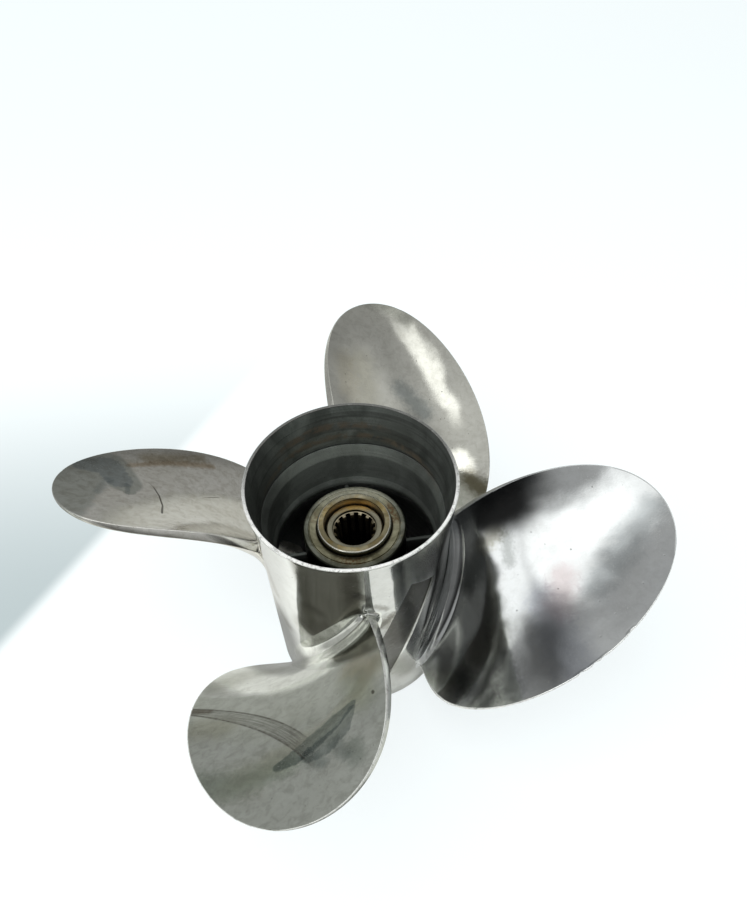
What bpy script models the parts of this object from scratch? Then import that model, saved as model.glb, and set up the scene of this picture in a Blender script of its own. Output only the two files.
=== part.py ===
# Stainless steel four-blade propeller of an outboard motor, standing on the forward end of its barrel.
# Up is the direction the water leaves: the flared aft rim is on top. The origin is the middle of the base.
import math
import bpy
import bmesh

# Barrel, the outer tube that carries the blades. Heights are measured from the base.
BARREL_LENGTH = 0.161
RIM_RADIUS = 0.061
BARREL_SEGMENTS = 80
BARREL_OUTSIDE = (
    (0.0602, 0.1610),
    (0.0608, 0.1606),
    (0.0610, 0.1598),
    (0.0605, 0.1560),
    (0.0597, 0.1500),
    (0.0585, 0.1400),
    (0.0577, 0.1280),
    (0.0572, 0.1160),
    (0.0570, 0.1060),
    (0.0566, 0.0600),
    (0.0562, 0.0120),
    (0.0560, 0.0020),
    (0.0555, 0.0005),
    (0.0548, 0.0),
)
BARREL_INSIDE = (
    (0.0532, 0.0),
    (0.0526, 0.0006),
    (0.0524, 0.0020),
    (0.0518, 0.0160),
    (0.0514, 0.0500),
    (0.0508, 0.0800),
    (0.0495, 0.0940),
    (0.0482, 0.1020),
    (0.0480, 0.1045),
    (0.0484, 0.1062),
    (0.0498, 0.1180),
    (0.0508, 0.1270),
    (0.0516, 0.1288),
    (0.0525, 0.1300),
    (0.0531, 0.1330),
    (0.0552, 0.1440),
    (0.0573, 0.1535),
    (0.0586, 0.1596),
    (0.0590, 0.1606),
    (0.0595, 0.1610),
)

# Shallow recessed name panels on the barrel, left bare: corners as azimuth in degrees and height.
PANEL_DEPTH = 0.0011
PANEL_TOP_LEFT = (-60.2, 0.1262)
PANEL_TOP_RIGHT = (-41.2, 0.1134)
PANEL_BOTTOM_RIGHT = (-77.0, 0.0274)
PANEL_BOTTOM_LEFT = (-96.0, 0.0375)
PANEL_COUNT = 2

# Inner hub, the tube on the propeller shaft, with a raised ring round its aft opening.
HUB_SEGMENTS = 72
HUB_FACE = 0.118
HUB_OUTSIDE = (
    (0.0182, 0.1223),
    (0.0217, 0.1223),
    (0.02225, 0.1218),
    (0.0224, 0.1184),
    (0.0229, 0.1178),
    (0.0270, 0.1181),
    (0.0273, 0.1175),
    (0.0277, 0.1175),
    (0.0280, 0.1181),
    (0.0303, 0.1180),
    (0.0310, 0.1173),
    (0.0308, 0.0800),
    (0.0300, 0.0128),
    (0.0292, 0.0120),
)
HUB_INSIDE = (
    (0.0272, 0.0120),
    (0.0266, 0.0128),
    (0.0262, 0.1090),
    (0.0250, 0.1100),
    (0.0184, 0.1110),
    (0.0179, 0.1118),
    (0.0179, 0.1218),
)

# Rubber bushing between the inner hub and the drive sleeve.
BUSHING_SEGMENTS = 48
BUSHING_OUTER = 0.0257
BUSHING_INNER = 0.0168
BUSHING_BASE = 0.0165
BUSHING_TOP = 0.1086

# Drive sleeve on the shaft, with teeth down its bore.
SLEEVE_OUTER = 0.0164
SLEEVE_TOP = 0.1183
SLEEVE_BASE = 0.0100
SPLINE_TEETH = 15
SPLINE_TURN = 8.0
SPLINE_MAJOR = 0.0128
SPLINE_MINOR = 0.0106
SLEEVE_OUTSIDE = (
    (0.0148, 0.1183),
    (0.0159, 0.1179),
    (0.0164, 0.1168),
    (0.0164, 0.0120),
    (0.0156, 0.0100),
)
SLEEVE_INSIDE = (
    (0.0142, 0.0100),
    (0.0131, 0.0125),
    (0.0106, 0.0125),
    (0.0106, 0.1165),
    (0.0131, 0.1165),
    (0.0133, 0.1176),
    (0.0139, 0.1181),
)

# Ribs between the inner hub and the barrel.
RIB_COUNT = 4
RIB_AZIMUTH = 3.0
RIB_THICKNESS = 0.0026
RIB_TOP = 0.0970
RIB_BASE = 0.0260
RIB_GAP = 0.0003
RIB_STEPS = 7

# Blades: values at even steps from the root to the tip.
BLADE_COUNT = 4
BLADE_AZIMUTH = -115.0
ROOT_RADIUS = 0.0572
TIP_RADIUS = 0.181
BLADE_SKEW = (0.0, -3.0, 3.0, 10.0)
BLADE_CHORD = (0.105, 0.169, 0.178)
BLADE_OUTLINE_POWER = 2.1
BLADE_HEIGHT = (0.066, 0.104, 0.139)
BLADE_PITCH = (0.585, 0.505, 0.510)
TRAILING_THICKNESS = (0.0056, 0.0047, 0.0014)
LEADING_THICKNESS = (0.0022, 0.0012, 0.0009)
MIDDLE_THICKENING = (0.0065, 0.0028, 0.0003)
FACE_HOLLOW = 0.010
FACE_FILLET = 0.013
BACK_FILLET = 0.009
END_FILLET = 0.004
CHORD_STEPS = 12
EDGE_STEPS = 5
FILLET_RISES = (0.0, 0.0009, 0.0024, 0.0047, 0.0082, 0.013)
SPAN_STEPS = 15
GAP = 0.00035


def clearScene():
    for old in list(bpy.data.objects):
        bpy.data.objects.remove(old, do_unlink=True)


def collection(name):
    made = bpy.data.collections.new(name)
    bpy.context.scene.collection.children.link(made)
    return made


def material(name, color, metallic, roughness):
    made = bpy.data.materials.new(name)
    made.use_nodes = True
    shader = made.node_tree.nodes["Principled BSDF"]
    shader.inputs["Base Color"].default_value = (*color, 1.0)
    shader.inputs["Metallic"].default_value = metallic
    shader.inputs["Roughness"].default_value = roughness
    return made


def place(mesh, name, home, finish):
    piece = bpy.data.objects.new(name, mesh)
    home.objects.link(piece)
    piece.data.materials.append(finish)
    return piece


def cutterLook(piece):
    piece.hide_render = True
    piece.display_type = "WIRE"


def smooth(piece, angle):
    bpy.context.view_layer.objects.active = piece
    bpy.ops.object.select_all(action="DESELECT")
    piece.select_set(True)
    bpy.ops.object.shade_smooth_by_angle(angle=math.radians(angle))


# A closed profile at +X, turned once round the upright axis.
def turned(name, profile, segments, home, finish):
    mesh = bpy.data.meshes.new(name)
    points = [(radius, 0.0, height) for radius, height in profile]
    count = len(points)
    edges = [(step, (step + 1) % count) for step in range(count)]
    mesh.from_pydata(points, edges, [])
    piece = place(mesh, name, home, finish)
    turn = piece.modifiers.new("turn", "SCREW")
    turn.axis = "Z"
    turn.angle = math.tau
    turn.steps = segments
    turn.render_steps = segments
    turn.use_merge_vertices = True
    turn.merge_threshold = 0.00001
    return piece


def subtract(piece, cutter):
    cut = piece.modifiers.new("cut", "BOOLEAN")
    cut.operation = "DIFFERENCE"
    cut.solver = "EXACT"
    cut.object = cutter


def bake(piece):
    bpy.context.view_layer.objects.active = piece
    bpy.ops.object.select_all(action="DESELECT")
    piece.select_set(True)
    for modifier in list(piece.modifiers):
        bpy.ops.object.modifier_apply(modifier=modifier.name)


# Reads a profile of (radius, height) pairs at a height.
def radiusAt(profile, height):
    for first, second in zip(profile, profile[1:]):
        if min(first[1], second[1]) <= height <= max(first[1], second[1]) and first[1] != second[1]:
            share = (height - first[1]) / (second[1] - first[1])
            return first[0] + (second[0] - first[0]) * share
    return profile[-1][0]


# The smooth curve through values given at even steps from 0 to 1.
def curveThrough(values, place):
    last = len(values) - 1
    total = 0.0
    for index, value in enumerate(values):
        weight = 1.0
        for other in range(last + 1):
            if other != index:
                weight *= (place - other / last) / ((index - other) / last)
        total += value * weight
    return total


def between(first, second, share):
    return tuple(a + (b - a) * share for a, b in zip(first, second))


def makeBarrel(home, cutters, steel):
    barrel = turned("barrel", BARREL_OUTSIDE + BARREL_INSIDE, BARREL_SEGMENTS, home, steel)
    for index in range(PANEL_COUNT):
        turnAngle = math.tau * index / PANEL_COUNT
        bpy.ops.mesh.primitive_cube_add(size=1.0)
        cutter = bpy.context.object
        cutter.name = "panel_cutter_" + str(index + 1)
        shape = bmesh.new()
        shape.from_mesh(cutter.data)
        bmesh.ops.subdivide_edges(shape, edges=shape.edges[:], cuts=5, use_grid_fill=True)
        for vertex in shape.verts:
            across = vertex.co.x + 0.5
            upward = vertex.co.y + 0.5
            low = between(PANEL_BOTTOM_LEFT, PANEL_BOTTOM_RIGHT, across)
            high = between(PANEL_TOP_LEFT, PANEL_TOP_RIGHT, across)
            azimuth, height = between(low, high, upward)
            floorRadius = radiusAt(BARREL_OUTSIDE, height) - PANEL_DEPTH
            radius = floorRadius + (vertex.co.z + 0.5) * 0.004
            angle = math.radians(azimuth) + turnAngle
            vertex.co = (radius * math.cos(angle), radius * math.sin(angle), height)
        bmesh.ops.recalc_face_normals(shape, faces=shape.faces[:])
        shape.to_mesh(cutter.data)
        shape.free()
        for owner in list(cutter.users_collection):
            owner.objects.unlink(cutter)
        cutters.objects.link(cutter)
        cutterLook(cutter)
        subtract(barrel, cutter)
    bake(barrel)
    smooth(barrel, 30)
    return barrel


def makeSleeve(home, cutters, brass):
    sleeve = turned("drive_sleeve", SLEEVE_OUTSIDE + SLEEVE_INSIDE, 60, home, brass)
    corners = 6
    pitch = 360.0 / SPLINE_TEETH
    spread = (-6.0, 0.0, 6.0, 7.4, 12.0, 16.6)
    bpy.ops.mesh.primitive_cylinder_add(vertices=SPLINE_TEETH * corners, radius=1.0, depth=1.0)
    cutter = bpy.context.object
    cutter.name = "spline_cutter"
    for vertex in cutter.data.vertices:
        side = round(math.atan2(vertex.co.x, vertex.co.y) / math.tau * SPLINE_TEETH * corners)
        tooth, corner = divmod(side % (SPLINE_TEETH * corners), corners)
        angle = math.radians(tooth * pitch + spread[corner] + SPLINE_TURN)
        radius = SPLINE_MAJOR if corner < 3 else SPLINE_MINOR - 0.0004
        height = SLEEVE_BASE - 0.002 if vertex.co.z < 0.0 else SLEEVE_TOP + 0.002
        vertex.co = (radius * math.sin(angle), radius * math.cos(angle), height)
    for owner in list(cutter.users_collection):
        owner.objects.unlink(cutter)
    cutters.objects.link(cutter)
    cutterLook(cutter)
    subtract(sleeve, cutter)
    bake(sleeve)
    smooth(sleeve, 30)
    return sleeve


def makeRib(index, home, steel):
    angle = math.radians(RIB_AZIMUTH) + math.tau * index / RIB_COUNT
    bpy.ops.mesh.primitive_cube_add(size=1.0)
    rib = bpy.context.object
    rib.name = "rib_" + str(index + 1)
    shape = bmesh.new()
    shape.from_mesh(rib.data)
    upright = [edge for edge in shape.edges if abs(edge.verts[0].co.z - edge.verts[1].co.z) > 0.5]
    bmesh.ops.subdivide_edges(shape, edges=upright, cuts=RIB_STEPS, use_grid_fill=True)
    for vertex in shape.verts:
        height = RIB_BASE + (RIB_TOP - RIB_BASE) * (vertex.co.z + 0.5)
        if vertex.co.x < 0.0:
            radius = radiusAt(HUB_OUTSIDE, height) + RIB_GAP
        else:
            radius = radiusAt(BARREL_INSIDE, height) - RIB_GAP
        side = RIB_THICKNESS * (0.5 if vertex.co.y > 0.0 else -0.5)
        along = math.sqrt(radius * radius - side * side)
        x = along * math.cos(angle) - side * math.sin(angle)
        y = along * math.sin(angle) + side * math.cos(angle)
        vertex.co = (x, y, height)
    shape.to_mesh(rib.data)
    shape.free()
    for owner in list(rib.users_collection):
        owner.objects.unlink(rib)
    home.objects.link(rib)
    rib.data.materials.append(steel)
    soften = rib.modifiers.new("soften", "BEVEL")
    soften.width = 0.0009
    soften.segments = 2
    soften.limit_method = "ANGLE"
    bake(rib)
    smooth(rib, 40)
    return rib


# How far a fillet of this radius stands out at a height above the barrel.
def filletReach(rise, radius):
    if rise >= radius:
        return 0.0
    return radius - math.sqrt(radius * radius - (radius - rise) ** 2)


# The grid of points across a blade section: its columns run along the chord, its layers from face to back.
def bladeSection(rise):
    radius = ROOT_RADIUS + rise
    share = min(1.0, rise / (TIP_RADIUS - ROOT_RADIUS))
    outline = math.sqrt(max(0.0, 1.0 - share**BLADE_OUTLINE_POWER))
    chord = outline * curveThrough(BLADE_CHORD, share) + 2.0 * filletReach(rise, END_FILLET)
    pitchAngle = math.atan(curveThrough(BLADE_PITCH, share) / (math.tau * radius))
    middle = math.radians(curveThrough(BLADE_SKEW, share))
    middleHeight = curveThrough(BLADE_HEIGHT, share)
    trailing = curveThrough(TRAILING_THICKNESS, share)
    leading = curveThrough(LEADING_THICKNESS, share)
    thickening = curveThrough(MIDDLE_THICKENING, share)
    grid = []
    for column in range(CHORD_STEPS + 1):
        along = 0.5 - 0.5 * math.cos(math.pi * column / CHORD_STEPS)
        hump = 4.0 * along * (1.0 - along)
        hollow = FACE_HOLLOW * chord * hump * (1.0 - share)
        thickness = leading + (trailing - leading) * along + thickening * hump
        fullness = math.sqrt(hump)
        faceFlare = filletReach(rise, END_FILLET + (FACE_FILLET - END_FILLET) * fullness)
        backFlare = filletReach(rise, END_FILLET + (BACK_FILLET - END_FILLET) * fullness)
        row = []
        for layer in range(EDGE_STEPS + 1):
            depth = layer / EDGE_STEPS
            roundness = 4.0 * depth * (1.0 - depth)
            reach = (along - 0.5) * chord
            if column == 0:
                reach -= 0.5 * leading * roundness
            offset = -hollow + faceFlare - depth * (thickness + faceFlare + backFlare)
            around = reach * math.cos(pitchAngle) - offset * math.sin(pitchAngle)
            height = middleHeight + reach * math.sin(pitchAngle) + offset * math.cos(pitchAngle)
            fade = max(0.0, 1.0 - rise / 0.03)
            barrel = radiusAt(BARREL_OUTSIDE, height) + GAP - ROOT_RADIUS
            distance = radius + barrel * fade
            angle = middle + around / radius
            row.append((distance * math.cos(angle), distance * math.sin(angle), height))
        grid.append(row)
    return grid


def makeBlade(index, home, steel):
    sections = []
    for rise in FILLET_RISES:
        sections.append(bladeSection(rise))
    span = TIP_RADIUS - ROOT_RADIUS - FACE_FILLET
    for step in range(1, SPAN_STEPS + 1):
        sections.append(bladeSection(FACE_FILLET + span * math.sin(0.5 * math.pi * step / SPAN_STEPS * 0.975)))
    shape = bmesh.new()
    rows = []
    for grid in sections[:1] + sections[-1:]:
        rows.append([[shape.verts.new(point) for point in row] for row in grid])
    columns = CHORD_STEPS + 1
    layers = EDGE_STEPS + 1
    border = [(column, 0) for column in range(columns)]
    border += [(CHORD_STEPS, layer) for layer in range(1, layers)]
    border += [(column, EDGE_STEPS) for column in range(CHORD_STEPS - 1, -1, -1)]
    border += [(0, layer) for layer in range(EDGE_STEPS - 1, 0, -1)]
    rings = [[rows[0][column][layer] for column, layer in border]]
    for grid in sections[1:-1]:
        rings.append([shape.verts.new(grid[column][layer]) for column, layer in border])
    rings.append([rows[1][column][layer] for column, layer in border])
    for inner, outer in zip(rings, rings[1:]):
        for step in range(len(border)):
            following = (step + 1) % len(border)
            shape.faces.new((inner[step], inner[following], outer[following], outer[step]))
    for cap in rows:
        for column in range(CHORD_STEPS):
            for layer in range(EDGE_STEPS):
                near, ahead = cap[column][layer], cap[column + 1][layer]
                beyond, beside = cap[column + 1][layer + 1], cap[column][layer + 1]
                shape.faces.new((near, ahead, beside))
                shape.faces.new((ahead, beyond, beside))
    bmesh.ops.recalc_face_normals(shape, faces=shape.faces[:])
    mesh = bpy.data.meshes.new("blade_" + str(index + 1))
    shape.to_mesh(mesh)
    shape.free()
    blade = place(mesh, "blade_" + str(index + 1), home, steel)
    turn = math.radians(BLADE_AZIMUTH) + math.tau * index / BLADE_COUNT
    cosine = math.cos(turn)
    sine = math.sin(turn)
    for vertex in blade.data.vertices:
        x, y, z = vertex.co
        vertex.co = (x * cosine - y * sine, x * sine + y * cosine, z)
    smooth(blade, 40)
    return blade


def build():
    clearScene()
    home = collection("outboard_propeller")
    cutters = collection("cutters")
    steel = material("polished_stainless", (0.62, 0.62, 0.60), 1.0, 0.16)
    satin = material("satin_stainless", (0.34, 0.34, 0.32), 1.0, 0.42)
    brass = material("sleeve_bronze", (0.52, 0.46, 0.33), 1.0, 0.35)
    rubber = material("black_rubber", (0.025, 0.024, 0.022), 0.0, 0.75)
    makeBarrel(home, cutters, steel)
    hub = turned("inner_hub", HUB_OUTSIDE + HUB_INSIDE, HUB_SEGMENTS, home, satin)
    bake(hub)
    smooth(hub, 30)
    ring = (
        (BUSHING_INNER, BUSHING_TOP),
        (BUSHING_OUTER, BUSHING_TOP),
        (BUSHING_OUTER, BUSHING_BASE),
        (BUSHING_INNER, BUSHING_BASE),
    )
    bushing = turned("rubber_bushing", ring, BUSHING_SEGMENTS, home, rubber)
    bake(bushing)
    smooth(bushing, 30)
    makeSleeve(home, cutters, brass)
    for index in range(RIB_COUNT):
        makeRib(index, home, satin)
    for index in range(BLADE_COUNT):
        makeBlade(index, home, steel)


build()
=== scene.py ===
import math
import bpy
import bmesh
from mathutils import Matrix, Vector


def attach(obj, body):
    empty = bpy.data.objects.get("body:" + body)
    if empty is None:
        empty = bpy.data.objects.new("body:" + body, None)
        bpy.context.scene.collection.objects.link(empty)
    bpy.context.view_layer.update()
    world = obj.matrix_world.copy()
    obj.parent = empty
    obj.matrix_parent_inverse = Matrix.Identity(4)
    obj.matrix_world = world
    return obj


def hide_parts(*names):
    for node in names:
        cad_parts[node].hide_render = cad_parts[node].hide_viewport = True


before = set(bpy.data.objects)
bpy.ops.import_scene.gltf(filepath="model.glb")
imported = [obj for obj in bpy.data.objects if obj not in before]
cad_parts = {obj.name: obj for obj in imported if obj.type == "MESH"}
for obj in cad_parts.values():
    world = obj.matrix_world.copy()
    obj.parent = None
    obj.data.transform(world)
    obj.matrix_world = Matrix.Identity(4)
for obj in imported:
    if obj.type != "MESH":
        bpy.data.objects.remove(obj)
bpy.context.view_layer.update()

mm = 0.001


def deselectAll():
    if bpy.context.object and bpy.context.object.mode != "OBJECT":
        bpy.ops.object.mode_set(mode="OBJECT")
    bpy.ops.object.select_all(action="DESELECT")


def pick(piece):
    deselectAll()
    bpy.context.view_layer.objects.active = piece
    piece.select_set(True)


def blend(first, second, share):
    return first + (second - first) * share


# A smooth curve through evenly spaced values, read at a place from 0 to 1.
def curveThrough(values, place):
    last = len(values) - 1
    total = 0.0
    for index, value in enumerate(values):
        weight = 1.0
        for other in range(last + 1):
            if other != index:
                weight *= (place - other / last) / ((index - other) / last)
        total += value * weight
    return total


# A closed profile of (radius, height, rounding) in mm, turned into points with its corners rounded off.
def softCorners(profile, arcSteps=5):
    points = []
    count = len(profile)
    for at, (radius, height, rounding) in enumerate(profile):
        corner = Vector((radius, height))
        if rounding <= 0:
            points.append(corner)
            continue
        before = Vector(profile[at - 1][:2]) - corner
        after = Vector(profile[(at + 1) % count][:2]) - corner
        turn = before.angle(after)
        reach = min(rounding / math.tan(turn / 2), before.length * 0.48, after.length * 0.48)
        radiusUsed = reach * math.tan(turn / 2)
        toCenter = (before.normalized() + after.normalized()).normalized()
        center = corner + toCenter * (radiusUsed / math.sin(turn / 2))
        start = corner + before.normalized() * reach - center
        end = corner + after.normalized() * reach - center
        sweep = start.angle(end)
        for step in range(arcSteps + 1):
            share = step / arcSteps
            early = start * math.sin((1 - share) * sweep)
            late = end * math.sin(share * sweep)
            points.append(center + (early + late) / math.sin(sweep))
    return [(point.x, point.y) for point in points]


def sew(piece):
    pick(piece)
    bpy.ops.object.mode_set(mode="EDIT")
    bpy.ops.mesh.select_all(action="SELECT")
    bpy.ops.mesh.remove_doubles(threshold=0.000002)
    bpy.ops.mesh.normals_make_consistent(inside=False)
    bpy.ops.object.mode_set(mode="OBJECT")


# Grid primitive whose columns run round the axis and whose rows follow the profile, sewn into a closed ring.
def turnProfile(name, points, columns, shape=None):
    deselectAll()
    rows = len(points)
    bpy.ops.mesh.primitive_grid_add(x_subdivisions=columns, y_subdivisions=rows, size=1)
    piece = bpy.context.object
    piece.name = name
    piece.data.name = name
    for vertex in piece.data.vertices:
        column = round((vertex.co.x + 0.5) * columns)
        row = round((vertex.co.y + 0.5) * rows) % rows
        angle = math.tau * column / columns
        radius, height = points[row]
        if shape:
            radius = shape(radius, angle)
        vertex.co = (radius * math.cos(angle) * mm, radius * math.sin(angle) * mm, height * mm)
    sew(piece)
    return piece


def finishPiece(piece, materials, nodes, angle=35):
    pick(piece)
    bpy.ops.object.transform_apply(location=True, rotation=True, scale=True)
    bpy.ops.object.shade_smooth_by_angle(angle=math.radians(angle))
    for finish in materials:
        piece.data.materials.append(finish)
    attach(piece, "root")
    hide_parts(*nodes)


def hexColor(code):
    code = code.lstrip("#")
    channels = [int(code[at : at + 2], 16) / 255 for at in (0, 2, 4)]
    linear = [c / 12.92 if c <= 0.04045 else ((c + 0.055) / 1.055) ** 2.4 for c in channels]
    return (*linear, 1.0)


# Adds one node: plain values and colours go on its sockets, other nodes' outputs are linked to them.
def node(tree, kind, inputs=None, **settings):
    made = tree.nodes.new(kind)
    for key, value in settings.items():
        setattr(made, key, value)
    for socket, value in (inputs or {}).items():
        if isinstance(value, bpy.types.NodeSocket):
            tree.links.new(value, made.inputs[socket])
        else:
            made.inputs[socket].default_value = value
    return made


def calc(tree, operation, *values):
    return node(tree, "ShaderNodeMath", dict(enumerate(values)), operation=operation).outputs[0]


def vectorCalc(tree, operation, *values):
    made = node(tree, "ShaderNodeVectorMath", dict(enumerate(values)), operation=operation)
    return made.outputs["Value" if operation in ("LENGTH", "DOT_PRODUCT") else "Vector"]


# Goes softly from 0 to 1 as the value goes from start to end, or from 1 to 0 when end is the smaller.
def fade(tree, value, start, end, low=0.0, high=1.0):
    inputs = {0: value, 1: start, 2: end, 3: low, 4: high}
    return node(tree, "ShaderNodeMapRange", inputs, interpolation_type="SMOOTHSTEP").outputs[0]


def tinted(tree, share, first, second, blending="MIX"):
    inputs = {0: share, 6: first, 7: second}
    return node(tree, "ShaderNodeMix", inputs, data_type="RGBA", blend_type=blending).outputs[2]


# Noise in Object coordinates; stretch and turn give grain that runs one way.
def grain(tree, place, scale, detail=3.0, rough=0.5, warp=0.0, stretch=None, turn=(0, 0, 0)):
    if stretch:
        angles = [math.radians(angle) for angle in turn]
        place = node(tree, "ShaderNodeMapping", {0: place, 2: angles, 3: stretch}).outputs[0]
    inputs = {"Vector": place, "Scale": scale, "Detail": detail, "Roughness": rough, "Distortion": warp}
    return node(tree, "ShaderNodeTexNoise", inputs).outputs["Fac"]


def bump(tree, height, distance, strength=1.0, under=None):
    inputs = {"Height": height, "Distance": distance, "Strength": strength}
    if under:
        inputs["Normal"] = under
    return node(tree, "ShaderNodeBump", inputs).outputs[0]


def startMaterial(name):
    made = bpy.data.materials.new(name)
    made.use_nodes = True
    tree = made.node_tree
    return made, tree, tree.nodes["Principled BSDF"], node(tree, "ShaderNodeTexCoord").outputs["Object"]


# How far a place lies from the line between two points (x, y, z, half width in mm), in half widths.
def besideLine(tree, place, start, end):
    begin = [value * mm for value in start[:3]]
    along = [(last - first) * mm for first, last in zip(start[:3], end[:3])]
    lengthSquared = max(1e-9, sum(value * value for value in along))
    reach = vectorCalc(tree, "SUBTRACT", place, begin)
    share = calc(tree, "DIVIDE", vectorCalc(tree, "DOT_PRODUCT", reach, along), lengthSquared)
    share = node(tree, "ShaderNodeClamp", {0: share}).outputs[0]
    spread = node(tree, "ShaderNodeCombineXYZ", {0: share, 1: share, 2: share}).outputs[0]
    nearest = vectorCalc(tree, "MULTIPLY", along, spread)
    away = vectorCalc(tree, "LENGTH", vectorCalc(tree, "SUBTRACT", reach, nearest))
    return calc(tree, "DIVIDE", away, calc(tree, "MULTIPLY_ADD", share, (end[3] - start[3]) * mm, start[3] * mm))


# A mark painted through a row of points, 1 inside and 0 outside. Little raggedness gives a crisp edge,
# raggedness above one gives a soft cloudy edge.
def paintedMark(tree, place, points, ragged, raggedness):
    nearest = besideLine(tree, place, points[0], points[1])
    for start, end in zip(points[1:], points[2:]):
        nearest = calc(tree, "MINIMUM", nearest, besideLine(tree, place, start, end))
    uneven = calc(tree, "MULTIPLY_ADD", ragged, raggedness, nearest)
    uneven = calc(tree, "SUBTRACT", uneven, 0.5 * raggedness)
    outer, inner = (1.6, 0.2) if raggedness > 1 else (1.12, 0.85)
    return fade(tree, uneven, outer, inner)


# Investment-cast stainless steel, ground and mirror polished by hand: clear but gently wavy reflections, hairlines in
# two directions, a thin dull film in patches, small pits and old stains where water dried, together with painted
# reflection marks, a painted reflection edge, and a painted highlight on the edges and rim.
polishedBase = {
    "clean": "#cfd1ce",
    "filmColor": "#aeada5",
    "film": 0.35,
    "filmRough": 0.08,
    "roughness": 0.045,
    "waveScale": 34,
    "waveDepth": 0.0004,
    "hairTurn": (0, 0, 35),
    "hairDepth": 0.00001,
    "hair": 0.4,
    "pits": 0.45,
    "mottle": 0.3,
    "mottleColor": "#a09d96",
    "mottleRough": 0.06,
    "stainsAndPaintedReflections": (),
    "paintedReflectionEdges": (),
    "arcs": (),
    "sunken": 0.0,
    "edgeShine": 0.85,
    "rimShine": 0.0,
}


# Distance from a circle in plan, in metres: negative inside. Circle as (x, y, radius) in mm.
def fromCircle(tree, flat, circle):
    centerX, centerY, radius = circle
    away = vectorCalc(tree, "LENGTH", vectorCalc(tree, "SUBTRACT", flat, (centerX * mm, centerY * mm, 0)))
    return calc(tree, "SUBTRACT", away, radius * mm)


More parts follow.
